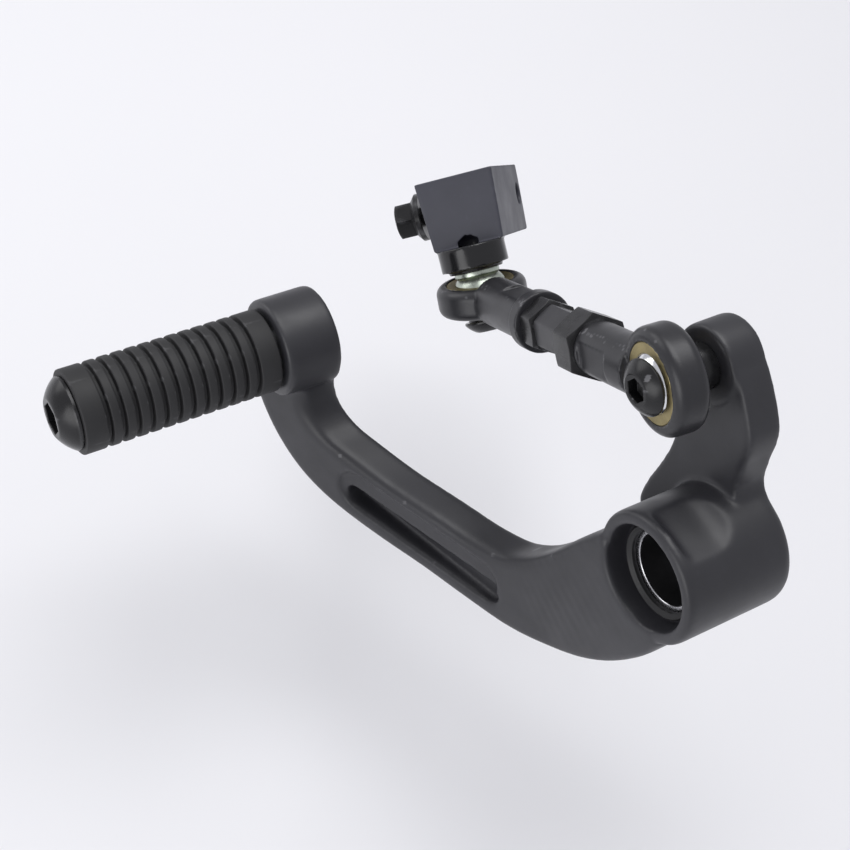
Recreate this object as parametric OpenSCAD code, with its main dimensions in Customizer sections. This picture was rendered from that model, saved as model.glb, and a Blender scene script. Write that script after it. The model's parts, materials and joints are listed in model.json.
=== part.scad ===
// Motorcycle gear shift lever with a ball-jointed link and a clamp for the shift shaft.
// The pivot axis is Y, outboard is +Y, the toe peg points outboard, forward is +X and up is +Z.
// The origin is on the pivot axis, at the outer mouth of the pivot bush.

/* [Pivot hub] */
// Outer diameter of the hub
hub_d = 26; // [24.5:0.5:30]
// Length of the hub along the pivot axis
hub_len = 24.4; // [24.4:0.2:30]
// Diameter of the deep counterbore in the outer face
counterbore_d = 20.6; // [19:0.2:21]
// Depth of the counterbore in the outer face
counterbore_depth = 5; // [4:0.5:6.5]
// Thickness of the thin rim that stands at the outer end of the milled flat
rim_t = 2.2; // [1.6:0.2:3]
// Height of the milled flat above the pivot axis
flat_z = 11.4; // [11:0.1:12]
// Radius of the milled flat's corner beside the short arm
flat_r = 8; // [5:0.5:9]
// Rounding of the hub's rear rim
hub_round = 2; // [0.5:0.5:3]

/* [Pivot bush and seals] */
// Bore of the pivot bush, which turns on the pivot bolt
bush_bore_d = 14; // [10:0.5:14]
// Wall of the pivot bush
bush_wall = 1; // [0.8:0.1:1.4]
// Thickness of each dust seal
seal_t = 1.6; // [1:0.2:2]
// Width of each dust seal, from its bore to its rim
seal_w = 1.4; // [0.8:0.2:1.4]

/* [Long arm] */
// Thickness of the arm across its faces
arm_t = 9.5; // [8:0.5:11]
// Half width of the straight stretch
arm_half_w = 9; // [8.5:0.5:10]
// Rounding along the outer edges of the arm
arm_round = 2.2; // [1:0.2:3]
// Rounding along the inner edges of the arm
arm_back_round = 0.8; // [0.4:0.2:1.5]
// Forward distance at which the arm starts to lean outboard
lean_start = 14; // [12:1:18]
// Outboard lean of the arm, in degrees
lean_angle = 19.9; // [14:0.1:22]
// Depth of the deep groove at its end near the peg
slot_depth = 5; // [3:0.5:6]
// Depth of the deep groove at its end near the hub
slot_shallow = 2.4; // [1.2:0.2:3]
// Width of the deep groove
slot_w = 5.2; // [4:0.2:5.4]
// Depth of the shallow recess above the groove
recess_depth = 0.9; // [0.5:0.1:1.5]
// Width of the recess and the groove together
recess_w = 11; // [10.8:0.2:12]

/* [Toe peg] */
// Forward distance from the pivot to the peg
peg_x = 89.7; // [86:0.1:94]
// Height of the peg above the pivot
peg_z = -17.5; // [-20:0.1:-14]
// Diameter of the boss that carries the peg
peg_boss_d = 21; // [19:0.5:23]
// Length of that boss
peg_boss_len = 12.4; // [11:0.2:14]
// Diameter of the peg tube inside the rubber
peg_tube_d = 11; // [10:0.5:12]
// Outer diameter of the rubber sleeve over its ribs
rubber_d = 17.8; // [16:0.2:20]
// Length of the rubber sleeve
rubber_len = 42.6; // [38:0.2:50]
// Number of narrow ribs between the two wide end ribs
rib_count = 11; // [7:1:12]
// Width of each wide end rib
end_rib_w = 4.6; // [3.5:0.1:5.5]
// Width of each groove between the ribs
groove_w = 1.1; // [0.8:0.1:1.3]
// Depth of each groove
groove_depth = 1.3; // [0.6:0.1:1.8]
// Diameter of the cap screw's domed head
cap_d = 15.4; // [14:0.2:17]
// Height of that domed head
cap_h = 5.4; // [4:0.2:6]

/* [Short arm] */
// Thickness of the short arm
short_t = 7.4; // [6:0.2:8]
// Forward distance from the pivot to the joint screw
joint_x = 18.1; // [16:0.1:20]
// Height of the joint screw above the pivot
joint_z = 32; // [30:0.5:36]
// Diameter of the boss that the joint screw enters
joint_boss_d = 15; // [14:0.2:16]
// Length of the spacer between the boss and the ball
spacer_len = 3.7; // [2.6:0.1:4.4]

/* [Rod ends] */
// Diameter of the ball
ball_d = 12.7; // [12:0.1:13]
// Width of the ball across its faces
ball_w = 9; // [8.6:0.1:9.2]
// Running clearance between the ball and its race
ball_gap = 0.05; // [0.03:0.01:0.08]
// Outer diameter of the brass race
race_d = 15; // [14.6:0.1:16]
// Outer diameter of the rod end's eye
eye_d = 20; // [19:0.5:22]
// Width of the eye
eye_w = 6.8; // [6.2:0.1:7]
// Rounding of the eye's outer edges
eye_round = 2; // [1:0.2:2.2]
// Diameter of the rod end's shank
shank_d = 10.6; // [10:0.2:11.4]
// Width of the shank across its spanner flats
shank_flats = 9; // [8.5:0.1:9.5]
// Diameter of the joint screws
screw_d = 6; // [5:0.5:6]
// Diameter of the joint screws' button heads
button_d = 10.5; // [9.5:0.5:10.5]
// Height of the button heads
button_h = 3.3; // [2.8:0.1:3.6]
// Width of the hex sockets across flats
socket_af = 4; // [3:0.5:4.5]

/* [Link] */
// Distance between the two ball centres
link_len = 82.8; // [80:0.1:90]
// Distance from the first ball to the end of its rod end
shank_1_len = 26; // [22:0.5:30]
// Distance from the second ball to the end of its rod end
shank_2_len = 32.3; // [28:0.1:34]
// Diameter of the round collar at the end of the second rod end
shank_rim_d = 12.7; // [11.6:0.1:13.4]
// Length of that round collar
shank_rim_len = 3.5; // [2:0.5:5]
// Width across flats of the lock nut at the first rod end
big_nut_af = 12; // [11:0.5:13]
// Length of the lock nut at the first rod end
big_nut_len = 7; // [4:0.5:7]
// Width across flats of the lock nut at the second rod end
nut_af = 10; // [9:0.5:11]
// Length of the lock nut at the second rod end
nut_len = 5; // [3:0.5:6]
// Width across flats of the hexagonal rod
rod_af = 8.6; // [8:0.2:9.4]
// Diameter of the rod's threaded ends
rod_thread_d = 6; // [5:0.5:6]

/* [Link pose] */
// Downward pitch of the link, about the first joint screw
link_pitch = 35.8; // [20:0.1:40]
// Inboard tilt of the link on the first ball
link_tilt = 9.5; // [0:0.1:12]
// Tilt of the clamp on the second ball
clamp_tilt = 12.5; // [0:0.5:13]
// Direction of that tilt, about the second ball's screw
clamp_tilt_dir = -2; // [-60:1:60]
// Turn of the clamp about the second ball's screw
clamp_turn = -119; // [-180:1:180]

/* [Shaft clamp] */
// Width of the clamp block along its pinch bolt
clamp_w = 17.6; // [16.6:0.2:19]
// Height of the clamp block above its round neck
clamp_h = 15.4; // [13.4:0.5:17.4]
// Distance from the joint screw to the shift shaft
clamp_arm = 20; // [16:0.5:26]
// Distance from the joint screw to the block's plain front face
clamp_front = 2.1; // [1.8:0.1:2.6]
// Taper of the block's sides, in degrees a side
clamp_taper = 3.4; // [0:0.2:4]
// Diameter of the clamp's round neck
neck_d = 15; // [14:0.2:15.6]
// Length of the clamp's round neck
neck_len = 5; // [4:0.5:6]
// Length of the plated collar between the neck and the ball
collar_len = 1; // [0.8:0.1:2]
// Diameter of the plated collar
collar_d = 10; // [9:0.2:10]
// Length of the thin step below the round neck
step_len = 0.8; // [0.6:0.1:1.6]
// Diameter of the bore for the shift shaft
shaft_bore_d = 10; // [8:0.5:10]
// Width of the clamp's slit
slit_w = 1.4; // [1:0.1:1.8]
// Diameter of the pinch bolt
pinch_d = 5; // [4:0.5:5]
// Diameter of the pinch bolt's flange
flange_d = 11.4; // [10.5:0.2:12]
// Width across flats of the pinch bolt's head
bolt_af = 8; // [7:0.5:8]
// Length by which the pinch bolt stands out of the block
bolt_out = 6; // [4:0.5:8]

/* [Hidden] */

// A sliding clearance on a radius, for pieces of different bodies
slide = 0.04;
// An axial clearance between a ball and its neighbours
face_gap = 0.04;
eps = 0.01;

hub_r = hub_d / 2;
face_y = counterbore_depth;
rear_y = face_y - hub_len;
short_y0 = rear_y;
short_y1 = rear_y + short_t;
flat_y0 = short_y1;
flat_y1 = face_y - rim_t;
bush_d = bush_bore_d + 2 * bush_wall;

ball_face = ball_w / 2;
spacer_y0 = short_y1 + 0.6;
ball_1_y = spacer_y0 + spacer_len + face_gap + ball_face;
spacer_d = 8.8;

// The outer face of the arm, leaning outboard from lean_start with a smooth bend
lean = tan(lean_angle);
bend_r = 6;
function arm_face_y(x) = face_y + lean * (x - lean_start + sqrt(pow(x - lean_start, 2) + bend_r * bend_r)) / 2;
peg_face_y = arm_face_y(peg_x) + 1;

// Stations along the arm's centre line: forward, up and half width
peg_boss_r = peg_boss_d / 2;
stations = [
    [2, -6, hub_r - 1.2], [5.5, -14, 12.4], [10.5, -23.5, 12], [17, -32, 11.2], [25, -37.8, 10.4],
    [35, -40.2, arm_half_w + 0.3], [46, -41.2, arm_half_w], [58, -42.6, arm_half_w],
    [68, -42.8, arm_half_w + 0.1], [75, -41.8, arm_half_w - 0.4], [80.8, -38.8, 7.6],
    [85.6, -33.8, 6.8], [88.6, -27, 7], [peg_x, peg_z, 8]
];
station_steps = 4;

// A smooth curve through the stations
function spline(a, b, c, d, t) = 0.5 * (2 * b + (c - a) * t + (2 * a - 5 * b + 4 * c - d) * t * t
    + (3 * b - a - 3 * c + d) * t * t * t);
function station(i) = stations[max(0, min(len(stations) - 1, i))];
function arm_point(i, t) = spline(station(i - 1), station(i), station(i + 1), station(i + 2), t);
arm_points = concat([for (i = [0 : len(stations) - 2], k = [0 : station_steps - 1]) arm_point(i, k / station_steps)],
    [station(len(stations) - 1)]);
arm_count = len(arm_points);

function flat(v) = [v[0], v[1]];
function unit(v) = v / norm(v);
function arm_way(i) = unit(flat(arm_points[min(arm_count - 1, i + 1)]) - flat(arm_points[max(0, i - 1)]));

// The arm's section as pairs of side offset and depth, with quarter rounds on the four edges
round_steps = 4;
function corner(cx, cy, r, from) = [for (k = [0 : round_steps]) let (a = from + 90 * k / round_steps)
    [cx + r * cos(a), cy + r * sin(a)]];
function arm_section(w) = concat(
    corner(w - arm_round, -arm_round, arm_round, 0),
    corner(-w + arm_round, -arm_round, arm_round, 90),
    corner(-w + arm_back_round, -arm_t + arm_back_round, arm_back_round, 180),
    corner(w - arm_back_round, -arm_t + arm_back_round, arm_back_round, 270));
function place(i, q) = let (p = arm_points[i], u = arm_way(i), x = p[0] - u[1] * q[0], z = p[1] + u[0] * q[0])
    [x, arm_face_y(x) + q[1], z];

// A tube of rings with flat caps
module skin(rings) {
    n = len(rings[0]);
    m = len(rings);
    points = [for (ring = rings) each ring];
    sides = [for (i = [0 : m - 2], k = [0 : n - 1]) let (a = i * n + k, b = i * n + (k + 1) % n)
        each [[a, b, a + n], [b, b + n, a + n]]];
    polyhedron(points, concat([[for (k = [n - 1 : -1 : 0]) k]], sides, [[for (k = [0 : n - 1]) (m - 1) * n + k]]));
}

// A cylinder along Y, from y0 to y1
module rod_y(d, y0, y1, facets = 72) {
    translate([0, y0, 0]) rotate([-90, 0, 0]) cylinder(d = d, h = y1 - y0, $fn = facets);
}

// A cylinder along X, from x0 to x1
module rod_x(d, x0, x1, facets = 48) {
    translate([x0, 0, 0]) rotate([0, 90, 0]) cylinder(d = d, h = x1 - x0, $fn = facets);
}

// A hexagonal bar along X, with its width measured across flats
module hex_x(af, x0, x1) {
    translate([x0, 0, 0]) rotate([0, 90, 0]) cylinder(d = af / cos(30), h = x1 - x0, $fn = 6);
}

// A hexagonal nut along X with turned chamfers at both ends
module nut_x(af, bore, x0, x1) {
    corner_d = af / cos(30);
    chamfer = (corner_d - af) / 2 + 0.2;
    difference() {
        intersection() {
            hex_x(af, x0, x1);
            translate([x0, 0, 0]) rotate([0, 90, 0]) rotate_extrude($fn = 48)
                polygon([[0, 0], [af / 2 - 0.1, 0], [corner_d / 2 + 0.1, chamfer],
                    [corner_d / 2 + 0.1, x1 - x0 - chamfer], [af / 2 - 0.1, x1 - x0], [0, x1 - x0]]);
        }
        rod_x(bore, x0 - 1, x1 + 1);
    }
}

module at_peg() { translate([peg_x, 0, peg_z]) children(); }
module at_joint() { translate([joint_x, 0, joint_z]) children(); }

// The frame of the first ball with the link's axis along X and the eye's axis along Y
module at_link() {
    translate([joint_x, ball_1_y, joint_z]) rotate([0, link_pitch, 0]) rotate([0, 0, -link_tilt]) children();
}

// The frame of the second ball, with the ball's own screw axis along Z
module at_ball_2() {
    at_link() translate([link_len, 0, 0]) rotate([0, 0, clamp_tilt_dir]) rotate([0, clamp_tilt, 0]) children();
}

module at_clamp() { at_ball_2() rotate([0, 0, clamp_turn]) children(); }

// The long arm alone, swept through its stations
module long_arm() {
    skin([for (i = [0 : arm_count - 1]) [for (q = arm_section(arm_points[i][2])) place(i, q)]]);
}

// The short arm's outline seen along the pivot axis, up its rear edge and down its front edge
web_x = 20.5;
short_points = [
    [-hub_r + 1, 2], [-7.5, hub_r - 4], [0.6, hub_r + 0.6], [2.2, 19.5], [2.6, 25], [joint_x - 13.6, joint_z - 2.8],
    [joint_x - 7.4, joint_z + 3.6], [joint_x, joint_z + joint_boss_d / 2 - 0.4], [joint_x + 6, joint_z + 3],
    [joint_x + 6.8, joint_z - 3], [joint_x + 4.6, joint_z - 9], [joint_x + 2, 18], [web_x - 2, 10], [web_x - 1.2, 2],
    [web_x, -5], [web_x - 1, -11.5], [hub_r - 3, -14], [2, -6]
];
function short_point(i) = short_points[max(0, min(len(short_points) - 1, i))];
module short_outline() {
    polygon([for (i = [0 : len(short_points) - 2], k = [0 : 2])
        spline(short_point(i - 1), short_point(i), short_point(i + 1), short_point(i + 2), k / 3)]);
    translate([joint_x, joint_z]) circle(d = joint_boss_d, $fn = 96);
}

module hub_body() {
    rotate([90, 0, 0]) translate([0, 0, -face_y]) rotate_extrude($fn = 120)
        polygon(concat([[0, 0]], [for (k = [0 : 4]) [hub_r - 1.2 + 1.2 * sin(22.5 * k), 1.2 - 1.2 * cos(22.5 * k)]],
            [for (k = [0 : 4]) [hub_r - hub_round + hub_round * cos(22.5 * k),
                hub_len - hub_round + hub_round * sin(22.5 * k)]], [[0, hub_len]]));
}

// The flat milled across the top of the hub, seen along X, with a large and a small corner
module flat_plan() {
    top = flat_z + flat_r + 1;
    rim_r = 1;
    translate([flat_y0 + flat_r, flat_z]) square([flat_y1 - rim_r - flat_y0 - flat_r, top - flat_z]);
    translate([flat_y1 - rim_r - eps, flat_z + rim_r]) square([rim_r + eps, top - flat_z - rim_r]);
    translate([flat_y0 + eps, flat_z + flat_r]) square([flat_r, top - flat_z - flat_r]);
    intersection() {
        translate([flat_y0 + flat_r, flat_z + flat_r]) circle(r = flat_r, $fn = 96);
        translate([flat_y0 + eps, flat_z]) square([flat_r, flat_r + eps]);
    }
    translate([flat_y1 - rim_r, flat_z + rim_r]) circle(r = rim_r, $fn = 48);
}

module milled_flat() {
    translate([-hub_d, 0, 0]) rotate([90, 0, 90]) linear_extrude(2 * hub_d) flat_plan();
}

// A long hole with round ends, from one point to another
module long_hole(a, b, width) {
    way = unit(b - a) * width / 2;
    side = [-way[1], way[0]];
    polygon([a + side, b + side, b - side, a - side]);
    for (end = [a, b]) translate(end) circle(d = width, $fn = 48);
}

// A cutter that follows the plan above, its floor at y = 0 and open outboard
module milled(a, b, width) {
    translate([0, 20, 0]) rotate([90, 0, 0]) linear_extrude(20) long_hole(a, b, width);
}

// The recess and the groove in the leaning face, the groove running deeper towards the peg
slot_end_x = 63.5;
slot_start_x = 29.5;
slot_start_z = -39.4;
slot_end_z = -41.85;
module arm_slot() {
    stretch = 1 / cos(lean_angle);
    start = (slot_start_x - lean_start) * stretch;
    run = (slot_end_x - slot_start_x) * stretch;
    slope = atan((slot_depth - slot_shallow) / run);
    low = (recess_w - slot_w) / 2 - 0.3;
    translate([lean_start, face_y, 0]) rotate([0, 0, lean_angle]) {
        translate([start, -recess_depth, 0]) milled([4, slot_start_z], [run, slot_end_z], recess_w);
        translate([start, -slot_shallow, 0]) rotate([0, 0, -slope])
            milled([0, slot_start_z + 0.3 - low], [run + 0.6, slot_end_z - low], slot_w);
    }
}

module lever_arm() {
    color([0.13, 0.13, 0.14]) difference() {
        union() {
            hub_body();
            long_arm();
            at_peg() rod_y(peg_boss_d, peg_face_y - peg_boss_len, peg_face_y, 96);
            translate([0, short_y1, 0]) rotate([90, 0, 0]) linear_extrude(short_t) short_outline();
            at_joint() rod_y(joint_boss_d, short_y0, spacer_y0, 96);
        }
        milled_flat();
        arm_slot();
        at_peg() rod_y(peg_boss_d + 4, peg_face_y, peg_face_y + 20, 96);
        rod_y(counterbore_d, 0, face_y + 1, 96);
        rod_y(bush_d, rear_y - 1, face_y + 1, 96);
        at_peg() rod_y(screw_d + 2, peg_face_y - peg_boss_len - 1, peg_face_y + 1);
        at_joint() rod_y(screw_d, short_y0 - 1, spacer_y0 + 1);
    }
}

module pivot_bush() {
    color([0.7, 0.7, 0.72]) difference() {
        rod_y(bush_d, rear_y, 0, 96);
        rod_y(bush_bore_d, rear_y - 1, 1, 96);
    }
}

module outer_seal() {
    color([0.05, 0.05, 0.05]) difference() {
        rod_y(bush_d + 2 * seal_w, 0, seal_t, 96);
        rod_y(bush_d, -1, seal_t + 1, 96);
    }
}

module inner_seal() {
    color([0.05, 0.05, 0.05]) difference() {
        rod_y(bush_d + 2 * seal_w, rear_y - seal_t, rear_y, 96);
        rod_y(bush_bore_d + 1, rear_y - seal_t - 1, rear_y + 1, 96);
    }
}

rubber_y0 = peg_face_y + 0.8;
rubber_y1 = rubber_y0 + rubber_len;
rib_w = (rubber_len - 2 * end_rib_w - (rib_count + 1) * groove_w) / rib_count;

module peg_tube() {
    color([0.35, 0.35, 0.37]) at_peg() difference() {
        rod_y(peg_tube_d, peg_face_y, rubber_y1);
        rod_y(screw_d + 2, peg_face_y - 1, rubber_y1 + 1);
    }
}

module peg_rubber() {
    color([0.09, 0.09, 0.1]) at_peg() difference() {
        rod_y(rubber_d, rubber_y0, rubber_y1, 96);
        rod_y(peg_tube_d, rubber_y0 - 1, rubber_y1 + 1);
        for (k = [0 : rib_count]) let (y = rubber_y0 + end_rib_w + k * (rib_w + groove_w))
            difference() {
                rod_y(rubber_d + 2, y, y + groove_w);
                rod_y(rubber_d - 2 * groove_depth, y - 1, y + groove_w + 1);
            }
    }
}

// A domed head on the Y axis, its underside at y0, with a hex socket
module domed_head(d, h, y0, af) {
    rim = 0.16 * h;
    dome_r = (d * d / 4 + pow(h - rim, 2)) / (2 * (h - rim));
    difference() {
        intersection() {
            rod_y(d, y0, y0 + h, 96);
            translate([0, y0 + h - dome_r, 0]) sphere(r = dome_r, $fn = 96);
        }
        translate([0, y0 + h * 0.35, 0]) rotate([-90, 0, 0]) cylinder(d = af / cos(30), h = h, $fn = 6);
    }
}

module peg_cap_screw() {
    color([0.08, 0.08, 0.09]) at_peg() {
        domed_head(cap_d, cap_h, rubber_y1, 6);
        rod_y(screw_d + 2, peg_face_y - peg_boss_len, rubber_y1 + 0.5);
    }
}

module joint_spacer_1() {
    color([0.55, 0.56, 0.55]) at_joint() difference() {
        rod_y(spacer_d, spacer_y0, spacer_y0 + spacer_len);
        rod_y(screw_d, spacer_y0 - 1, spacer_y0 + spacer_len + 1);
    }
}

head_1_y = ball_1_y + ball_face + face_gap;
module joint_screw_1() {
    color([0.07, 0.07, 0.08]) at_joint() {
        domed_head(button_d, button_h, head_1_y, socket_af);
        rod_y(screw_d, short_y0 + 1, head_1_y + 0.5);
    }
}

// A ball on the Y axis with flat faces and a bore for its screw
module ball_y() {
    bore_r = screw_d / 2 + slide;
    rotate([-90, 0, 0]) rotate_extrude($fn = 96) intersection() {
        circle(d = ball_d, $fn = 96);
        translate([bore_r, -ball_face]) square([ball_d, ball_w]);
    }
}

module joint_ball_1() { color([0.85, 0.86, 0.88]) translate([joint_x, ball_1_y, joint_z]) ball_y(); }

// The brass race, with a spherical seat, its axis along Y
module race_y() {
    race_w = eye_w - 0.4;
    rotate([-90, 0, 0]) rotate_extrude($fn = 96) difference() {
        translate([0, -race_w / 2]) square([race_d / 2, race_w]);
        circle(d = ball_d + 2 * ball_gap, $fn = 96);
    }
}

// Half of the eye's section, with rounded outer edges
module eye_section() {
    square_w = eye_w / 2 - eye_round;
    translate([0, -eye_w / 2]) square([eye_d / 2 - eye_round, eye_w]);
    translate([0, -square_w]) square([eye_d / 2, 2 * square_w]);
    for (side = [-1, 1]) translate([eye_d / 2 - eye_round, side * square_w]) circle(r = eye_round, $fn = 48);
}

// A rod end with its eye on the Y axis and its shank along X, its spanner flats ending at flats_x1
module housing(shank_len, flats_x0, flats_x1) {
    difference() {
        union() {
            rotate([-90, 0, 0]) rotate_extrude($fn = 96) eye_section();
            rod_x(shank_d, eye_d / 2 - 2.4, shank_len);
            translate([eye_d / 2 - 3.4, 0, 0]) rotate([0, 90, 0])
                cylinder(d1 = eye_w * 0.9, d2 = shank_d, h = 4.5, $fn = 48);
            children();
        }
        rod_y(race_d, -eye_w, eye_w, 96);
        rod_x(rod_thread_d, eye_d / 2 + 1, shank_len + 1);
        for (side = [-1, 1]) translate([flats_x0, side * (shank_flats / 2 + 5) - 5, -10])
            cube([flats_x1 - flats_x0, 10, 20]);
    }
}

module rod_end_1() { color([0.1, 0.1, 0.11]) at_link() housing(shank_1_len, 14, shank_1_len - 1); }
module race_1() { color([0.62, 0.5, 0.3]) at_link() race_y(); }
module lock_nut_1() {
    color([0.07, 0.07, 0.08]) at_link() nut_x(big_nut_af, rod_thread_d, shank_1_len, shank_1_len + big_nut_len);
}

rod_x0 = shank_1_len + big_nut_len;
rod_x1 = link_len - shank_2_len - nut_len;
module hex_rod() {
    color([0.12, 0.12, 0.13]) at_link() {
        hex_x(rod_af, rod_x0, rod_x1);
        rod_x(rod_thread_d, eye_d / 2 + 2, link_len - eye_d / 2 - 2);
    }
}

module lock_nut_2() {
    color([0.07, 0.07, 0.08]) at_link() nut_x(nut_af, rod_thread_d, rod_x1, rod_x1 + nut_len);
}

module rod_end_2() {
    color([0.1, 0.1, 0.11]) at_link() translate([link_len, 0, 0]) rotate([90, 0, 0]) rotate([0, 0, 180])
        housing(shank_2_len, 18, shank_2_len - shank_rim_len - 1)
            rod_x(shank_rim_d, shank_2_len - shank_rim_len, shank_2_len);
}
module race_2() { color([0.62, 0.5, 0.3]) at_link() translate([link_len, 0, 0]) rotate([90, 0, 0]) race_y(); }
module joint_ball_2() { color([0.6, 0.62, 0.6]) at_ball_2() rotate([90, 0, 0]) ball_y(); }

collar_z0 = ball_face + face_gap;
step_z0 = collar_z0 + collar_len;
neck_z0 = step_z0 + step_len;
block_z0 = neck_z0 + neck_len;
block_z1 = block_z0 + clamp_h;

module clamp_collar() {
    color([0.6, 0.63, 0.58]) at_clamp() difference() {
        translate([0, 0, collar_z0]) cylinder(d = collar_d, h = collar_len, $fn = 48);
        translate([0, 0, collar_z0 - 1]) cylinder(d = screw_d, h = collar_len + 2, $fn = 48);
    }
}

screw_shoulder = 0.8;
module joint_screw_2() {
    color([0.07, 0.07, 0.08]) at_clamp() rotate([-90, 0, 0]) {
        domed_head(button_d, button_h, ball_face + face_gap + screw_shoulder, socket_af);
        rod_y(8.8, ball_face + face_gap, ball_face + face_gap + screw_shoulder + 0.5);
        rod_y(screw_d, -block_z0 + 0.6, ball_face + 0.5);
    }
}

clamp_end = clamp_arm + shaft_bore_d / 2 + pinch_d + 3.4;
pinch_y = clamp_arm + shaft_bore_d / 2 + pinch_d / 2 + 0.6;
pinch_z = block_z0 + 0.56 * clamp_h;

// The block's outline in plan, with a round end beyond the pinch bolt
module clamp_plan() {
    end_r = 3;
    difference() {
        union() {
            translate([-clamp_w / 2, -clamp_front]) square([clamp_w, clamp_front + clamp_end - end_r]);
            translate([-clamp_w / 2 + end_r, 0]) square([clamp_w - 2 * end_r, clamp_end]);
            for (side = [-1, 1]) translate([side * (clamp_w / 2 - end_r), clamp_end - end_r])
                circle(r = end_r, $fn = 48);
        }
        translate([0, clamp_arm]) circle(d = shaft_bore_d, $fn = 96);
        translate([-slit_w / 2, clamp_arm]) square([slit_w, clamp_end]);
    }
}

// The block tapers towards its neck, and the screw's bore breaks out of its plain front face
module clamp_block() {
    color([0.3, 0.31, 0.34]) at_clamp() difference() {
        union() {
            translate([0, 0, step_z0]) cylinder(d = 12, h = step_len, $fn = 96);
            translate([0, 0, neck_z0]) cylinder(d = neck_d, h = neck_len, $fn = 96);
            translate([0, 0, block_z0]) linear_extrude(clamp_h) clamp_plan();
        }
        for (side = [-1, 1]) translate([side * clamp_w / 2, -10, block_z1]) rotate([0, side * clamp_taper, 0])
            translate([side > 0 ? 0 : -5, 0, -clamp_h * 1.01]) cube([5, clamp_end + 20, clamp_h * 1.2]);
        translate([0, 0, step_z0 - 1]) cylinder(d = screw_d, h = step_len + neck_len + 2, $fn = 48);
        translate([0, 0, block_z0 + 1 - eps]) cylinder(d1 = screw_d, d2 = 0.6, h = screw_d / 2, $fn = 48);
        translate([0, pinch_y, pinch_z]) rod_x(pinch_d, -clamp_w, clamp_w);
    }
}

module pinch_bolt() {
    x0 = -clamp_w / 2 - bolt_out;
    color([0.07, 0.07, 0.08]) at_clamp() translate([0, pinch_y, pinch_z]) {
        rod_x(pinch_d, x0 - 0.5, clamp_w / 2 - bolt_out + 3);
        rod_x(flange_d, x0 - 1.4, x0);
        translate([x0 - 1.4, 0, 0]) rotate([0, -90, 0]) cylinder(d1 = flange_d, d2 = bolt_af, h = 1, $fn = 48);
        hex_x(bolt_af, x0 - 6.4, x0 - 1);
    }
}

lever_arm();
pivot_bush();
outer_seal();
inner_seal();
peg_tube();
peg_rubber();
peg_cap_screw();
joint_spacer_1();
joint_screw_1();
joint_ball_1();
rod_end_1();
race_1();
lock_nut_1();
hex_rod();
lock_nut_2();
rod_end_2();
race_2();
joint_ball_2();
clamp_collar();
joint_screw_2();
clamp_block();
pinch_bolt();
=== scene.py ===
"""Motorcycle gear shift lever: the looks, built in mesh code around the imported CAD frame."""

import json
import math

import bmesh
import bpy
from mathutils import Matrix, Vector


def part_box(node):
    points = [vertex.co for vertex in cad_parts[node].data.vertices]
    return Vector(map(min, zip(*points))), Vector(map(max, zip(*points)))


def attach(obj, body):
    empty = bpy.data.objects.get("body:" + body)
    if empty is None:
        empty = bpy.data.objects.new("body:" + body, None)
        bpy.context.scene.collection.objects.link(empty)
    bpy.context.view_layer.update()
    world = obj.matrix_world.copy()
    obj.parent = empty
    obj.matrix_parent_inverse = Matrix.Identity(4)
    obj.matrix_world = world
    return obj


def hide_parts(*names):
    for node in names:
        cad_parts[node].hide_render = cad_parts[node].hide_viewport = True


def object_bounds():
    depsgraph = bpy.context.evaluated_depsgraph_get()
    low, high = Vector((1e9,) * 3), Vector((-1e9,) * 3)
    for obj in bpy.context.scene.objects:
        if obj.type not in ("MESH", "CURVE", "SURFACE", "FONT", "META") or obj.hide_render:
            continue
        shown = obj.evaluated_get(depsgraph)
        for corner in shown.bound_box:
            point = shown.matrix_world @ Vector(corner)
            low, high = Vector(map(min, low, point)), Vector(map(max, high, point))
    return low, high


bl_info = {
    "name": "Gear Shift Lever",
    "version": (1, 0, 0),
    "blender": (4, 5, 0),
    "location": "View3D > Sidebar > Gear lever",
    "description": "Builds a motorcycle gear shift lever with its ball-jointed link around a CAD frame",
    "category": "Object",
}

MM = 0.001
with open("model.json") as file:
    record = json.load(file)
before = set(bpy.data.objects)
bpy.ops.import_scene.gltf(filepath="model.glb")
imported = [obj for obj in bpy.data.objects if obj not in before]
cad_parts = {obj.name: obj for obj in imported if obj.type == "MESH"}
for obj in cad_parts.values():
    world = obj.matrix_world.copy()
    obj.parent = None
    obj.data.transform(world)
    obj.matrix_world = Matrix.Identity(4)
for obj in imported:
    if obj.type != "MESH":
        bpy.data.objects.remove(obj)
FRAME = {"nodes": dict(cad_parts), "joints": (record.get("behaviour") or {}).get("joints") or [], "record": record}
CAD_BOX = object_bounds()
NODES = FRAME["nodes"]
RECORD = FRAME["record"]
BODY_OF = {n: body for body, names in RECORD["behaviour"]["bodies"].items() for n in names}
SLOT_OF = {s["node"]: s["material_slot"] for s in RECORD["subparts"]}


def joint_place(name):
    """A joint's point, in metres, and its axis."""
    joint = next(j for j in FRAME["joints"] if j["name"] == name)
    return Vector(joint["pos_m"]), Vector(joint["axis"]).normalized()


def axes_matrix(x, y, z, place):
    return Matrix.Translation(place) @ Matrix((x, y, z)).transposed().to_4x4()


def along(axis, place, near=Vector((0, 0, 1))):
    """A frame at place with local Z along axis."""
    z = Vector(axis).normalized()
    x = near.cross(z)
    if x.length < 1e-3:
        x = Vector((1, 0, 0))
    x = (x - z * x.dot(z)).normalized()
    return axes_matrix(x, z.cross(x), z, place)


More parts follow.
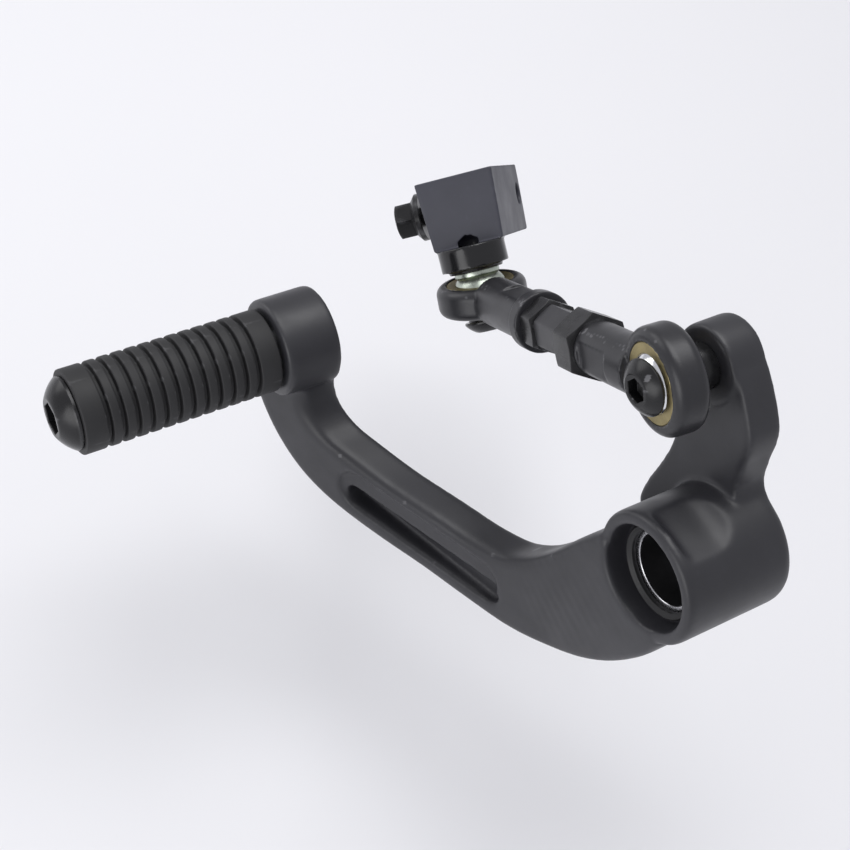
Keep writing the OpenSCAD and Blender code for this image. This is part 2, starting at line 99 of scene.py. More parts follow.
BALL_1, LINK_UP = joint_place("link_tilt")
BALL_2, STUD = joint_place("clamp_spin")
LINK_X = (BALL_2 - BALL_1).normalized()
LINK_Y = LINK_UP.cross(LINK_X).normalized()
SHAFT = next(m for m in RECORD["mounts"] if m["name"] == "shift_shaft_bore")
CLAMP_Y = Vector(SHAFT["pos_m"]) - BALL_2
CLAMP_Y = (CLAMP_Y - STUD * CLAMP_Y.dot(STUD)).normalized()
CLAMP = axes_matrix(CLAMP_Y.cross(STUD), CLAMP_Y, STUD, BALL_2)
OUTBOARD = Vector((0, 1, 0))
LINK_LENGTH = (BALL_2 - BALL_1).length / MM

# Sizes of the solids, in mm, where the frame doesn't give them
BALL_D, BALL_W = 12.7, 9.0
SEAT_R, RACE_R, RACE_W = 6.4, 7.5, 6.4
SCREW_R, SCREW_PLAY, BUTTON_D, BUTTON_H, SOCKET_AF = 3.0, 0.04, 10.5, 3.3, 4.0
SHANK_1, BIG_NUT_AF, BIG_NUT_LEN = 26.0, 12.0, 7.0
SHANK_2, NUT_AF, NUT_LEN, ROD_AF = 32.3, 10.0, 5.0, 8.6
COLLAR_R, COLLAR_LEN, STEP_LEN, NECK_LEN = 5.0, 1.0, 0.8, 5.0
BALL_FACE = BALL_W / 2 + SCREW_PLAY
BLOCK_Z, BLOCK_H, BLOCK_W = BALL_FACE + COLLAR_LEN + STEP_LEN + NECK_LEN, 15.4, 17.6
PINCH_D, PINCH_OUT, PINCH_HEAD_AF = 5.0, 6.0, 8.0
CLAMP_ARM, SHAFT_R = 20.0, 5.0
RIBS, END_RIB, RIB_GROOVE, RIB_DEPTH = 11, 4.6, 1.1, 1.3


# Sizes and colours

def size(name, description, default, low=0.01, high=200.0):
    return bpy.props.FloatProperty(name=name, description=description, default=default, min=low, max=high,
                                   unit="NONE", subtype="NONE")


def colour(name, description, default):
    return bpy.props.FloatVectorProperty(name=name, description=description, default=default, size=3,
                                         min=0.0, max=1.0, subtype="COLOR")


class LeverSizes(bpy.types.PropertyGroup):
    grain_step: size("Surface step", "Step of the rebuilt surface of the painted lever, in mm", 0.36,
                     0.2, 1.0)
    edge_passes: bpy.props.IntProperty(name="Edge passes", description="Passes that round the lever's edges",
                                       default=30, min=0, max=60)
    bush_chamfer: size("Bush chamfer", "Rounding of the pivot bush's rims, in mm", 0.3)
    rib_round: size("Rib rounding", "Rounding of the rubber ribs, in mm", 0.34)


class LinkSizes(bpy.types.PropertyGroup):
    eye_step: size("Surface step", "Step of the rebuilt surface of the rod ends, in mm", 0.24, 0.15, 1.0)
    eye_passes: bpy.props.IntProperty(name="Edge passes", description="Passes that round the rod ends' edges",
                                      default=8, min=0, max=30)
    edge_width: size("Edge width", "Bevel on nuts, rod and bolts, in mm", 0.14)
    thread_pitch: size("Thread pitch", "Pitch of the bolt threads, in mm", 0.8)


class Finishes(bpy.types.PropertyGroup):
    paint: colour("Lever paint", "Satin black paint of the lever", (0.021, 0.021, 0.025))
    clamp: colour("Clamp paint", "Bluish grey finish of the shaft clamp", (0.034, 0.035, 0.048))
    rubber: colour("Rubber", "Matte black rubber of the toe peg", (0.012, 0.012, 0.013))
    black_steel: colour("Black steel", "Blackened steel of screws and nuts", (0.012, 0.012, 0.013))
    rod_end: colour("Rod end", "Dark finish of the rod ends", (0.020, 0.020, 0.023))
    rod: colour("Link rod", "Satin black finish of the hexagonal rod", (0.030, 0.030, 0.033))
    zinc: colour("Zinc", "Zinc plating with a greenish cast", (0.42, 0.46, 0.40))
    brass: colour("Brass", "Dull brass of the races", (0.36, 0.30, 0.15))
    bright: colour("Bright steel", "Bright steel of the bush", (0.58, 0.58, 0.60))
    chrome: colour("Chrome", "Polished ball", (0.78, 0.79, 0.81))
    floor: colour("Floor", "Pale studio floor", (0.78, 0.78, 0.80))


# Meshes

def rounded(points, radius, steps=3):
    """A closed outline with each corner rounded, for a turned profile of radius and height."""
    out = []
    count = len(points)
    for i, here in enumerate(points):
        before, after = Vector(points[i - 1]), Vector(points[(i + 1) % count])
        p = Vector(here)
        a, b = before - p, after - p
        if p.x < 1e-6 or a.length < 1e-6 or b.length < 1e-6:
            out.append((p.x, p.y))
            continue
        corner = a.angle(b)
        if corner > math.radians(172):
            out.append((p.x, p.y))
            continue
        reach = min(radius / math.tan(corner / 2), 0.45 * a.length, 0.45 * b.length)
        start, end = p + a.normalized() * reach, p + b.normalized() * reach
        for k in range(steps + 1):
            t = k / steps
            q = start * (1 - t) ** 2 + p * 2 * t * (1 - t) + end * t ** 2
            out.append((q.x, q.y))
    return out


def turned(profile, count=96):
    """Rings of a turned piece about local Z, in mm."""
    verts, faces, rings = [], [], []
    for r, h in profile:
        if r < 1e-6:
            rings.append([len(verts)])
            verts.append((0.0, 0.0, h))
        else:
            rings.append(list(range(len(verts), len(verts) + count)))
            verts += [(r * math.cos(2 * math.pi * k / count), r * math.sin(2 * math.pi * k / count), h)
                      for k in range(count)]
    for a, b in zip(rings, rings[1:] + rings[:1]):
        faces += bridge(a, b, count)
    return verts, faces


def bridge(a, b, count):
    if len(a) == 1 and len(b) == 1:
        return []
    if len(a) == 1:
        return [(a[0], b[k], b[(k + 1) % count]) for k in range(count)]
    if len(b) == 1:
        return [(a[k], b[0], a[(k + 1) % count]) for k in range(count)]
    return [(a[k], b[k], b[(k + 1) % count], a[(k + 1) % count]) for k in range(count)]


def hex_radius(angle, across, soft=0.0):
    """Distance from the centre to a hexagon's edge, its corners cut back by soft."""
    turn = (angle + math.pi / 6) % (math.pi / 3) - math.pi / 6
    return min(across / 2 / math.cos(turn), across / 2 / math.cos(math.pi / 6) - soft)


def stacked(rings):
    """A skin over rings of equal count, with flat caps."""
    count = len(rings[0])
    verts = [v for ring in rings for v in ring]
    faces = []
    for i in range(len(rings) - 1):
        a, b = range(i * count, (i + 1) * count), range((i + 1) * count, (i + 2) * count)
        faces += bridge(list(a), list(b), count)
    faces.append(tuple(range(count)))
    faces.append(tuple(range((len(rings) - 1) * count, len(rings) * count)))
    return verts, faces


def ring(radius_at, height_at, count=96):
    out = []
    for k in range(count):
        a = 2 * math.pi * k / count
        r = radius_at(a)
        out.append((r * math.cos(a), r * math.sin(a), height_at(a, r)))
    return out


def nut_rings(across, z0, z1, chamfered=(True, True), count=96):
    """Rings of a hexagonal nut or bar about local Z, with turned chamfers."""
    slope = math.tan(math.radians(28))
    flat = across / 2 * 0.985

    def drop(r):
        return max(0.0, r - flat) * slope

    low = drop if chamfered[0] else (lambda r: 0.0)
    high = drop if chamfered[1] else (lambda r: 0.0)
    edge = lambda a: hex_radius(a, across, 0.05)
    rings = [ring(lambda a: flat, lambda a, r: z0, count)] if chamfered[0] else []
    rings += [ring(edge, lambda a, r: z0 + low(r), count), ring(edge, lambda a, r: z1 - high(r), count)]
    if chamfered[1]:
        rings.append(ring(lambda a: flat, lambda a, r: z1, count))
    return rings


def socket_rings(inner, across, top, depth, count=96):
    """Rings from a flat land at the top, down a hexagonal socket."""
    return [
        ring(lambda a: inner, lambda a, r: top, count),
        ring(lambda a: hex_radius(a, across) + 0.16, lambda a, r: top, count),
        ring(lambda a: hex_radius(a, across), lambda a, r: top - 0.16, count),
        ring(lambda a: hex_radius(a, across), lambda a, r: top - depth, count),
        ring(lambda a: across * 0.30, lambda a, r: top - depth - 0.3, count),
        ring(lambda a: 0.02, lambda a, r: top - depth - 0.7, count),
    ]


def dome_rings(diameter, height, z0, land, count=96, steps=9):
    """Rings of a domed head from its rim up to a flat land of the given radius."""
    rim = 0.16 * height
    rise = height - rim
    sphere = (diameter ** 2 / 4 + rise ** 2) / (2 * rise)
    centre = z0 + height - sphere
    rings = [ring(lambda a: diameter / 2 - 0.15, lambda a, r: z0, count),
             ring(lambda a: diameter / 2, lambda a, r: z0 + 0.15, count)]
    start = math.asin(min(1.0, diameter / 2 / sphere))
    end = math.asin(land / sphere)
    for k in range(steps + 1):
        t = start + (end - start) * k / steps
        rings.append(ring(lambda a: sphere * math.sin(t), lambda a, r: centre + sphere * math.cos(t), count))
    return rings, centre + sphere * math.cos(end)


def thread_rings(diameter, pitch, z0, z1, count=48):
    """Rings of a screw thread about local Z, tapering in at both ends."""
    depth = 0.55 * pitch
    steps = max(4, int((z1 - z0) / pitch * 8))
    rings = []
    for i in range(steps + 1):
        z = z0 + (z1 - z0) * i / steps
        fade = min(1.0, (z - z0) / pitch * 2, (z1 - z) / pitch * 2)

        def radius(a, z=z, fade=fade):
            phase = (z / pitch - a / (2 * math.pi)) % 1.0
            crest = 1 - min(1.0, abs(phase * 2 - 1) * 1.25)
            return diameter / 2 - depth * (crest * fade + 0.12 * (1 - fade))

        rings.append(ring(radius, lambda a, r, z=z: z, count))
    return rings


def second(obj, place, material, test):
    """Give another finish to the faces whose centres, in mm in the frame of place, pass a test."""
    obj.data.materials.append(material)
    back = place.inverted()
    for face in obj.data.polygons:
        if test((back @ face.center) / MM):
            face.material_index = 1


def shade(mesh, angle):
    mesh.polygons.foreach_set("use_smooth", [True] * len(mesh.polygons))
    mesh.set_sharp_from_angle(angle=math.radians(angle))


def finish_piece(obj, body, material, replaced):
    obj.data.materials.clear()
    obj.data.materials.append(material)
    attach(obj, body)
    if replaced:
        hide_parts(*replaced)
    return obj


def made(name, shape, place, body, material, replaced=(), angle=32, bevel=0.0, slot=None):
    """A piece from vertices in mm and faces, put in its place and riding on its body."""
    verts, faces = shape
    mesh = bpy.data.meshes.new(name)
    mesh.from_pydata([tuple(c * MM for c in v) for v in verts], [], faces)
    mesh.transform(place)
    work = bmesh.new()
    work.from_mesh(mesh)
    bmesh.ops.remove_doubles(work, verts=work.verts, dist=1e-7)
    bmesh.ops.recalc_face_normals(work, faces=work.faces)
    work.to_mesh(mesh)
    work.free()
    mesh.validate()
    shade(mesh, angle)
    obj = bpy.data.objects.new(name, mesh)
    bpy.context.scene.collection.objects.link(obj)
    if bevel:
        mod = obj.modifiers.new("edges", "BEVEL")
        mod.width = bevel * MM
        mod.segments = 2
        mod.limit_method = "ANGLE"
        mod.angle_limit = math.radians(38)
        mod.harden_normals = True
    slot = slot or (SLOT_OF[replaced[0]] if replaced else None)
    return finish_piece(obj, body, material, replaced)


def recast(name, node, material, step, passes, tidy=0.15):
    """A CAD node's form rebuilt as one soft-edged surface, as a cast or forged piece has."""
    mesh = NODES[node].data.copy()
    mesh.name = name
    obj = bpy.data.objects.new(name, mesh)
    bpy.context.scene.collection.objects.link(obj)
    remesh = obj.modifiers.new("surface", "REMESH")
    remesh.mode = "VOXEL"
    remesh.voxel_size = step * MM
    smooth = obj.modifiers.new("edges", "SMOOTH")
    smooth.factor = 0.5
    smooth.iterations = passes
    thin = obj.modifiers.new("thin", "DECIMATE")
    thin.decimate_type = "DISSOLVE"
    thin.angle_limit = math.radians(tidy)
    graph = bpy.context.evaluated_depsgraph_get()
    final = bpy.data.meshes.new_from_object(obj.evaluated_get(graph))
    obj.modifiers.clear()
    obj.data = final
    final.name = name
    bpy.data.meshes.remove(mesh)
    shade(final, 60)
    return finish_piece(obj, BODY_OF[node], material, [node])


# Materials

class Nodes:
    """A short way to wire a material's nodes."""

    def __init__(self, name):
        self.material = bpy.data.materials.new(name)
        self.material.use_nodes = True
        self.tree = self.material.node_tree
        self.tree.nodes.clear()
        self.out = self.add("ShaderNodeOutputMaterial")
        self.shader = self.add("ShaderNodeBsdfPrincipled")
        self.link(self.shader.outputs["BSDF"], self.out.inputs["Surface"])
        self.where = self.add("ShaderNodeTexCoord").outputs["Object"]

    def add(self, kind, **values):
        node = self.tree.nodes.new(kind)
        for key, value in values.items():
            setattr(node, key, value)
        return node

    def link(self, a, b):
        self.tree.links.new(a, b)

    def noise(self, scale, detail=3.0, rough=0.55, stretch=None):
        node = self.add("ShaderNodeTexNoise")
        node.inputs["Scale"].default_value = scale
        node.inputs["Detail"].default_value = detail
        node.inputs["Roughness"].default_value = rough
        where = self.where
        if stretch:
            mapping = self.add("ShaderNodeMapping")
            mapping.inputs["Scale"].default_value = stretch
            self.link(where, mapping.inputs["Vector"])
            where = mapping.outputs["Vector"]
        self.link(where, node.inputs["Vector"])
        return node.outputs["Fac"]

    def span(self, source, low, high, from_low=0.3, from_high=0.7):
        node = self.add("ShaderNodeMapRange")
        for key, value in (("From Min", from_low), ("From Max", from_high),
                           ("To Min", low), ("To Max", high)):
            node.inputs[key].default_value = value
        self.link(source, node.inputs["Value"])
        return node.outputs["Result"]

    def product(self, a, b):
        node = self.add("ShaderNodeMath", operation="MULTIPLY")
        self.link(a, node.inputs[0])
        self.link(b, node.inputs[1])
        return node.outputs[0]

    def mix(self, share, a, b):
        node = self.add("ShaderNodeMix", data_type="RGBA")
        self.link(share, node.inputs["Factor"])
        for socket, value in ((node.inputs["A"], a), (node.inputs["B"], b)):
            if isinstance(value, (tuple, list)):
                socket.default_value = (*value, 1.0)
            else:
                self.link(value, socket)
        return node.outputs["Result"]

    def edges(self, low=0.52, high=0.60):
        """1 on outer edges, from the mesh's own curvature."""
        return self.span(self.add("ShaderNodeNewGeometry").outputs["Pointiness"], 0.0, 1.0, low, high)

    def bump(self, height, strength, distance):
        node = self.add("ShaderNodeBump")
        node.inputs["Strength"].default_value = strength
        node.inputs["Distance"].default_value = distance * MM
        self.link(height, node.inputs["Height"])
        self.link(node.outputs["Normal"], self.shader.inputs["Normal"])


def tinted(base, factor):
    return tuple(min(1.0, c * factor) for c in base)


def coated(name, base, rough, grain=2600.0, bump=0.10, wear=0.35, metallic=0.0, spread=0.14):
    """Paint or a black finish: a fine grain, cloudy tone, and lighter rubbed edges."""
    m = Nodes(name)
    cloud = m.noise(55.0, 4.0)
    fine = m.noise(grain, 2.0, 0.6)
    tone = m.mix(m.span(cloud, 0.0, 1.0), tinted(base, 1 - spread), tinted(base, 1 + spread))
    speck = m.span(m.noise(900.0, 2.0), 0.0, 1.0, 0.60, 0.72)
    tone = m.mix(m.product(speck, m.span(cloud, 0.0, 0.35)), tone, tinted(base, 1.5))
    rubbed = m.product(m.edges(), m.span(m.noise(260.0, 3.0), 0.0, wear, 0.42, 0.62))
    tone = m.mix(rubbed, tone, (0.2, 0.2, 0.21))
    m.link(tone, m.shader.inputs["Base Color"])
    m.link(m.span(m.noise(140.0, 4.0), rough - 0.05, rough + 0.07), m.shader.inputs["Roughness"])
    m.shader.inputs["Metallic"].default_value = metallic
    m.bump(fine, bump, 0.05)
    return m.material


def metal(name, base, rough, streak=(1.0, 1.0, 1.0), spread=0.10, bump=0.05, hollow_shade=0.25):
    """Bare or plated metal with turning marks, cloudy plating and painted shade darkening the hollows."""
    m = Nodes(name)
    cloud = m.noise(240.0, 4.0)
    lines = m.noise(1800.0, 2.0, 0.6, streak)
    tone = m.mix(m.span(cloud, 0.0, 1.0), tinted(base, 1 - spread), tinted(base, 1 + spread))
    # painted shade: concave hollows, found from pointiness, are darkened towards near black
    painted_hollow_shade = m.span(m.add("ShaderNodeNewGeometry").outputs["Pointiness"], hollow_shade, 0.0, 0.42, 0.50)
    tone = m.mix(painted_hollow_shade, tone, (0.03, 0.03, 0.028))
    m.link(tone, m.shader.inputs["Base Color"])
    m.link(m.span(lines, rough - 0.06, rough + 0.10), m.shader.inputs["Roughness"])
    m.shader.inputs["Metallic"].default_value = 1.0
    m.bump(lines, bump, 0.03)
    return m.material


def rubber(name, base, rough):
    """Moulded rubber with a fine matt grain and scuffed ribs."""
    m = Nodes(name)
    cloud = m.noise(90.0, 4.0)
    tone = m.mix(m.span(cloud, 0.0, 1.0), tinted(base, 0.85), tinted(base, 1.25))
    scuff = m.product(m.edges(0.53, 0.62), m.span(m.noise(420.0, 3.0), 0.0, 0.5, 0.4, 0.65))
    tone = m.mix(scuff, tone, (0.10, 0.10, 0.105))
    m.link(tone, m.shader.inputs["Base Color"])
    m.link(m.span(cloud, rough - 0.06, rough + 0.06), m.shader.inputs["Roughness"])
    m.bump(m.noise(3200.0, 2.0), 0.16, 0.06)
    return m.material


def plain_floor(name, base):
    m = Nodes(name)
    tone = m.mix(m.span(m.noise(6.0, 3.0), 0.0, 1.0), tinted(base, 0.995), tinted(base, 1.005))
    m.link(tone, m.shader.inputs["Base Color"])
    m.shader.inputs["Roughness"].default_value = 0.9
    m.shader.inputs["Specular IOR Level"].default_value = 0.1
    return m.material


MATERIALS = {}


def finishes():
    """The finishes of this part, made once from the panel's colours."""
    if not MATERIALS:
        c = bpy.context.scene.lever_finishes
        MATERIALS.update({
            "black_paint": coated("satin_black_paint", c.paint, 0.42),
            "clamp_paint": coated("clamp_grey_paint", c.clamp, 0.46, wear=0.2),
            "link_black": coated("link_rod_black", c.rod, 0.40, wear=0.25),
            "rod_end_black": coated("rod_end_black", c.rod_end, 0.34, grain=1800.0, bump=0.16, wear=0.5,
                                    metallic=0.2),
            "black_screw": coated("blackened_steel", c.black_steel, 0.26, grain=1500.0, bump=0.06, wear=0.6,
                                  metallic=0.35, spread=0.25),
            "peg_rubber": rubber("peg_rubber", c.rubber, 0.62),
            "seal_rubber": rubber("seal_rubber", tinted(c.rubber, 0.6), 0.5),
            "bush_steel": metal("bush_steel", c.bright, 0.24, (1.0, 6.0, 1.0)),
            "plain_steel": metal("drawn_steel", tinted(c.bright, 0.6), 0.34),
            "zinc_steel": metal("zinc_plating", c.zinc, 0.30, spread=0.2),
            # painted shade in the hollows: light on the polished ball, strong on the brass races
            "ball_steel": metal("polished_ball", c.chrome, 0.12, spread=0.04, bump=0.02, hollow_shade=0.1),
            "race_brass": metal("race_brass", c.brass, 0.40, spread=0.2, hollow_shade=0.6),
            # painted shade: a near-black copy of the bush steel for the inside of the bore
            "bore_painted_shade": metal("painted_shade_bore_steel", tinted(c.bright, 0.12), 0.45, (1.0, 6.0, 1.0)),
            "neck_black": coated("glossy_black_neck", c.black_steel, 0.16, bump=0.03, wear=0.3, metallic=0.2),
            "floor": plain_floor("studio_floor", c.floor),
        })
    return MATERIALS


def paint_of(node):
    return finishes()[SLOT_OF[node]]


def node_radius(node):
    """Half the X extent of a node whose axis is Y, in mm."""
    low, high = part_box(node)
    return (high.x - low.x) / 2 / MM


def node_span(node):
    """The lowest and highest Y of a node, in mm."""
    low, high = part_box(node)
    return low.y / MM, high.y / MM


def centre_line(node):
    """A frame on a Y-axis node's own centre line, at y = 0, with local Z outboard."""
    low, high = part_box(node)
    return axes_matrix(Vector((0, 0, 1)), Vector((1, 0, 0)), OUTBOARD,
                       Vector(((low.x + high.x) / 2, 0, (low.z + high.z) / 2)))


def tube_profile(inner, outer, z0, z1, radius):
    return rounded([(inner, z0), (outer, z0), (outer, z1), (inner, z1)], radius)


# Operators

class LEVER_OT_arm(bpy.types.Operator):
    """Build the painted lever: hub, long arm, peg boss and short arm"""
    bl_idname = "lever.arm"
    bl_label = "Lever arm"

    def execute(self, context):
        s = context.scene.lever_sizes
        recast("lever_body", "lever_arm", paint_of("lever_arm"), s.grain_step, s.edge_passes)
        return {"FINISHED"}


class LEVER_OT_bush(bpy.types.Operator):
    """Build the pivot bush and its two dust seals"""
    bl_idname = "lever.bush"
    bl_label = "Pivot bush and seals"

    def execute(self, context):
        s = context.scene.lever_sizes
        y0, y1 = node_span("pivot_bush")
        outer = node_radius("pivot_bush")
        inner = RECORD["mounts"][0]["dims"]["r_mm"]
        place = centre_line("pivot_bush")
        profile = tube_profile(inner, outer, y0, y1, s.bush_chamfer)
        bush = made("pivot_bush_turned", turned(profile), place, "lever", paint_of("pivot_bush"), ["pivot_bush"])
        # painted shade: faces inside the bore take the darkened copy of the bush steel
        second(bush, place, finishes()["bore_painted_shade"],
               lambda q: math.hypot(q.x, q.y) < inner + 0.05 and q.z < y1 - 1.0)
        for node, name in (("outer_seal", "dust_seal_outer"), ("inner_seal", "dust_seal_inner")):
            z0, z1 = node_span(node)
            rim = node_radius(node)
            bore = outer if node == "outer_seal" else inner + 0.5
            lip = [(bore, z0), (rim, z0), (rim, z1 - 0.5), (rim - 0.45, z1),
                   (bore + 0.5, z1 - 0.35), (bore, z1 - 0.6)]
            made(name, turned(rounded(lip, 0.15)), centre_line(node), "lever", paint_of(node), [node])
        return {"FINISHED"}


class LEVER_OT_peg(bpy.types.Operator):
    """Build the toe peg: tube, ribbed rubber sleeve and domed cap screw"""
    bl_idname = "lever.peg"
    bl_label = "Toe peg"

    def execute(self, context):
        s = context.scene.lever_sizes
        y0, y1 = node_span("peg_rubber")
        outer, bore = node_radius("peg_rubber"), node_radius("peg_tube")
        rib = (y1 - y0 - 2 * END_RIB - (RIBS + 1) * RIB_GROOVE) / RIBS
        floor = outer - RIB_DEPTH
        outline = [(bore, y0), (outer, y0)]
        y = y0 + END_RIB
        for _ in range(RIBS + 1):
            outline += [(outer, y), (floor, y + 0.12),
                        (floor, y + RIB_GROOVE - 0.12), (outer, y + RIB_GROOVE)]
            y += RIB_GROOVE + rib
        outline += [(outer, y1), (bore, y1)]
        place = centre_line("peg_rubber")
        made("peg_sleeve", turned(rounded(outline, s.rib_round), 120), place, "lever", paint_of("peg_rubber"),
             ["peg_rubber"], angle=50)
        t0, t1 = node_span("peg_tube")
        made("peg_core", turned(tube_profile(bore - 1.5, bore, t0, t1, 0.2)), place, "lever",
             paint_of("peg_tube"), ["peg_tube"])
        c0, c1 = node_span("peg_cap_screw")
        rings, top = dome_rings(2 * node_radius("peg_cap_screw"), c1 - y1, y1, 4.2)
        rings += socket_rings(4.1, 6.0, top, 3.0)
        made("peg_cap", stacked(rings), place, "lever", paint_of("peg_cap_screw"), ["peg_cap_screw"],
             bevel=0.1)
        return {"FINISHED"}


def ball_profile(ball, width, bore):
    """A ball with flat faces and a chamfered bore, as a closed profile."""
    half = width / 2
    top = math.acos(half / (ball / 2))
    arc = [(ball / 2 * math.sin(top + (math.pi - 2 * top) * k / 40),
            ball / 2 * math.cos(top + (math.pi - 2 * top) * k / 40)) for k in range(41)]
    return arc + [(bore + 0.3, -half), (bore, -half + 0.3), (bore, half - 0.3), (bore + 0.3, half)]


def race_profile(ball, outer, width):
    """A race with a spherical seat, as a closed profile."""
    half = width / 2
    reach = math.asin(half / ball)
    seat = [(ball * math.cos(reach - 2 * reach * k / 16), ball * math.sin(reach - 2 * reach * k / 16))
            for k in range(17)]
    return seat + [(outer - 0.15, -half), (outer, -half + 0.15), (outer, half - 0.15), (outer - 0.15, half)]


class LEVER_OT_joint(bpy.types.Operator):
    """Build the first ball joint: spacer, ball, race and button-head screw"""
    bl_idname = "lever.joint"
    bl_label = "First ball joint"

    def execute(self, context):
        z0, z1 = node_span("joint_spacer_1")
        made("joint_spacer", turned(tube_profile(SCREW_R, node_radius("joint_spacer_1"), z0, z1, 0.25)),
             centre_line("joint_spacer_1"), "lever", paint_of("joint_spacer_1"), ["joint_spacer_1"])
        made("ball_first", turned(ball_profile(BALL_D, BALL_W, SCREW_R + SCREW_PLAY)),
             along(OUTBOARD, BALL_1), "ball_1", paint_of("joint_ball_1"), ["joint_ball_1"])
        made("race_first", turned(race_profile(SEAT_R, RACE_R, RACE_W)), along(LINK_Y, BALL_1), "link",
             paint_of("race_1"), ["race_1"])
        low, high = node_span("joint_screw_1")
        under = BALL_1.y / MM + BALL_FACE
        rings, top = dome_rings(BUTTON_D, high - under, under, 2.9)
        rings = [ring(lambda a: SCREW_R, lambda a, r: low),
                 ring(lambda a: SCREW_R, lambda a, r: under)] + rings
        rings += socket_rings(2.8, SOCKET_AF, top, 2.0)
        made("joint_screw_first", stacked(rings), centre_line("joint_screw_1"), "lever",
             paint_of("joint_screw_1"), ["joint_screw_1"], bevel=0.08)
        return {"FINISHED"}


class LEVER_OT_link(bpy.types.Operator):
    """Build the link: two rod ends, two lock nuts and the hexagonal rod"""
    bl_idname = "lever.link"
    bl_label = "Link"

    def execute(self, context):
        s = context.scene.link_sizes
        for node, name in (("rod_end_1", "rod_end_first"), ("rod_end_2", "rod_end_second")):
            recast(name, node, paint_of(node), s.eye_step, s.eye_passes)
        place = along(LINK_X, BALL_1, LINK_UP)
        rod_0, rod_1 = SHANK_1 + BIG_NUT_LEN, LINK_LENGTH - SHANK_2 - NUT_LEN
        for name, node, across, x0, x1 in (("lock_nut_first", "lock_nut_1", BIG_NUT_AF, SHANK_1, rod_0),
                                           ("link_rod", "hex_rod", ROD_AF, rod_0, rod_1),
                                           ("lock_nut_second", "lock_nut_2", NUT_AF, rod_1, rod_1 + NUT_LEN)):
            made(name, stacked(nut_rings(across, x0, x1)), place, "link", paint_of(node), [node],
                 bevel=s.edge_width)
        made("race_second", turned(race_profile(SEAT_R, RACE_R, RACE_W)), along(LINK_UP, BALL_2), "link",
             paint_of("race_2"), ["race_2"])
        return {"FINISHED"}


class LEVER_OT_clamp(bpy.types.Operator):
    """Build the second ball joint and the shaft clamp with its pinch bolt"""
    bl_idname = "lever.clamp"
    bl_label = "Shaft clamp"

    def execute(self, context):
        s = context.scene.link_sizes
        made("ball_second", turned(ball_profile(BALL_D, BALL_W, SCREW_R + SCREW_PLAY)),
             along(STUD, BALL_2), "ball_2", paint_of("joint_ball_2"), ["joint_ball_2"])
        profile = tube_profile(SCREW_R, COLLAR_R, BALL_FACE, BALL_FACE + COLLAR_LEN, 0.2)
        made("stud_collar", turned(profile), along(STUD, BALL_2), "shaft_clamp", paint_of("clamp_collar"),
             ["clamp_collar"])
        under, tip, shoulder_r, shoulder = BALL_FACE, -10.6, 4.3, 0.8
        rings, top = dome_rings(BUTTON_D, BUTTON_H, under + shoulder, 2.9)
        rings = [ring(lambda a: SCREW_R, lambda a, r: tip), ring(lambda a: SCREW_R, lambda a, r: under),
                 ring(lambda a: shoulder_r, lambda a, r: under),
                 ring(lambda a: shoulder_r, lambda a, r: under + shoulder)] + rings
        rings += socket_rings(2.8, SOCKET_AF, top, 2.0)
        made("joint_screw_second", stacked(rings), along(-STUD, BALL_2), "shaft_clamp",
             paint_of("joint_screw_2"), ["joint_screw_2"], bevel=0.08)
        body = recast("clamp_body", "clamp_block", paint_of("clamp_block"), 0.26, 6)
        second(body, along(STUD, BALL_2), finishes()["neck_black"], lambda q: q.z < BLOCK_Z)
        self.pinch(s)
        return {"FINISHED"}

    def pinch(self, s):
        x, y = -BLOCK_W / 2 - PINCH_OUT, CLAMP_ARM + SHAFT_R + PINCH_D / 2 + 0.6
        z = BLOCK_Z + 0.56 * BLOCK_H
        head = CLAMP @ Matrix.Translation(Vector((x, y, z)) * MM) @ Matrix.Rotation(-math.pi / 2, 4, "Y")
        rings = thread_rings(PINCH_D, s.thread_pitch, -(BLOCK_W + 3.0), -0.2)
        rings += [ring(lambda a: 3.0, lambda a, r: 0.0, 48), ring(lambda a: 5.5, lambda a, r: 0.0, 48),
                  ring(lambda a: 5.7, lambda a, r: 0.2, 48), ring(lambda a: 5.7, lambda a, r: 1.2, 48),
                  ring(lambda a: 5.4, lambda a, r: 1.45, 48), ring(lambda a: 4.5, lambda a, r: 2.2, 48)]
        rings += nut_rings(PINCH_HEAD_AF, 2.2, 6.4, (False, True), 48)
        rings += [ring(lambda a: 3.2, lambda a, r: 6.4, 48), ring(lambda a: 3.0, lambda a, r: 6.1, 48)]
        made("pinch_bolt_flanged", stacked(rings), head, "shaft_clamp", paint_of("pinch_bolt"),
             ["pinch_bolt"], angle=28)


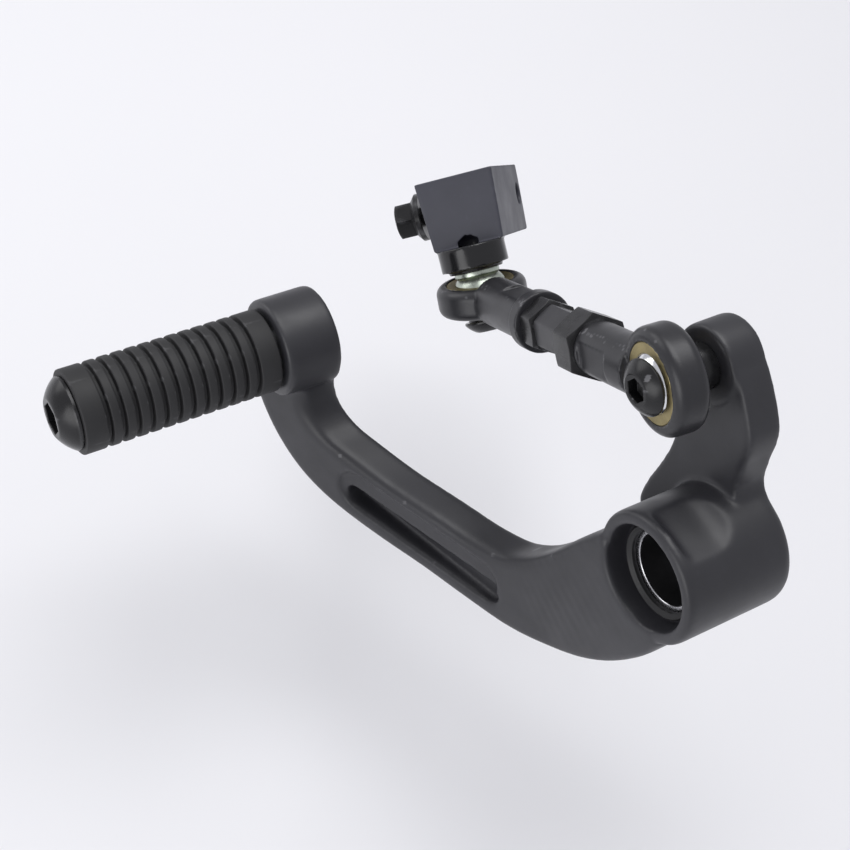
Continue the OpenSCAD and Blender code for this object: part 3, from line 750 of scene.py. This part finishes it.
class LEVER_OT_stage(bpy.types.Operator):
    """Build the floor, the lights and the camera"""
    bl_idname = "lever.stage"
    bl_label = "Studio"

    def execute(self, context):
        scene = context.scene
        low, high = CAD_BOX
        floor = bpy.data.meshes.new("floor")
        half, steps, z = 3.0, 12, low.z - 0.045
        points = [(half * (2 * i / steps - 1), half * (2 * j / steps - 1), z)
                  for i in range(steps + 1) for j in range(steps + 1)]
        row = steps + 1
        floor.from_pydata(points, [], [
            (i * row + j, (i + 1) * row + j, (i + 1) * row + j + 1, i * row + j + 1)
            for i in range(steps) for j in range(steps)])
        ground = bpy.data.objects.new("floor", floor)
        scene.collection.objects.link(ground)
        floor.materials.append(finishes()["floor"])
        self.camera(scene)
        self.lights(scene)
        scene.view_settings.view_transform = "Standard"
        return {"FINISHED"}

    def camera(self, scene):
        right, up = Vector((-0.504, -0.851, 0.1477)).normalized(), Vector((0.7086, -0.3096, 0.634))
        up = (up - right * up.dot(right)).normalized()
        data = bpy.data.cameras.new("photo_view")
        data.lens, data.sensor_width = 64.57, 36.0
        data.clip_start, data.clip_end = 0.02, 20.0
        camera = bpy.data.objects.new("photo_view", data)
        camera.matrix_world = axes_matrix(right, up, right.cross(up), Vector((-95.7, 145.5, 219.4)) * MM)
        scene.collection.objects.link(camera)
        scene.camera = camera

    def lights(self, scene):
        world = bpy.data.worlds.new("studio_air")
        world.use_nodes = True
        sky = world.node_tree.nodes["Background"]
        sky.inputs["Color"].default_value = (0.95, 0.95, 1.0, 1.0)
        sky.inputs["Strength"].default_value = 0.60
        scene.world = world
        centre = (CAD_BOX[0] + CAD_BOX[1]) / 2
        for name, place, size_m, power in (
                ("soft_top", (0.15, -0.10, 0.80), 0.6, 4.2),
                ("soft_front", (-0.30, 0.80, 0.10), 0.6, 3.0),
                ("soft_left", (0.70, 0.40, 0.30), 0.5, 1.4)):
            data = bpy.data.lights.new(name, "AREA")
            data.shape, data.size, data.energy = "SQUARE", size_m, power
            lamp = bpy.data.objects.new(name, data)
            lamp.location = centre + Vector(place)
            lamp.rotation_euler = (-Vector(place)).to_track_quat("-Z", "Y").to_euler()
            scene.collection.objects.link(lamp)


class LEVER_PT_panel(bpy.types.Panel):
    """Lists the pieces of the gear lever"""
    bl_idname = "LEVER_PT_panel"
    bl_label = "Gear lever"
    bl_space_type = "VIEW_3D"
    bl_region_type = "UI"
    bl_category = "Gear lever"

    def draw(self, context):
        column = self.layout.column(align=True)
        for operator in OPERATORS:
            column.operator(operator.bl_idname)
        for group in (context.scene.lever_sizes, context.scene.link_sizes, context.scene.lever_finishes):
            box = self.layout.box()
            for key in group.__annotations__:
                box.prop(group, key)


OPERATORS = (LEVER_OT_arm, LEVER_OT_bush, LEVER_OT_peg, LEVER_OT_joint, LEVER_OT_link, LEVER_OT_clamp,
             LEVER_OT_stage)
CLASSES = (LeverSizes, LinkSizes, Finishes, *OPERATORS, LEVER_PT_panel)


def register():
    for cls in CLASSES:
        bpy.utils.register_class(cls)
    bpy.types.Scene.lever_sizes = bpy.props.PointerProperty(type=LeverSizes)
    bpy.types.Scene.link_sizes = bpy.props.PointerProperty(type=LinkSizes)
    bpy.types.Scene.lever_finishes = bpy.props.PointerProperty(type=Finishes)


def unregister():
    del bpy.types.Scene.lever_finishes
    del bpy.types.Scene.link_sizes
    del bpy.types.Scene.lever_sizes
    for cls in reversed(CLASSES):
        bpy.utils.unregister_class(cls)


def main():
    register()
    for operator in OPERATORS:
        group, name = operator.bl_idname.split(".")
        getattr(getattr(bpy.ops, group), name)()


if __name__ == "__main__":
    main()
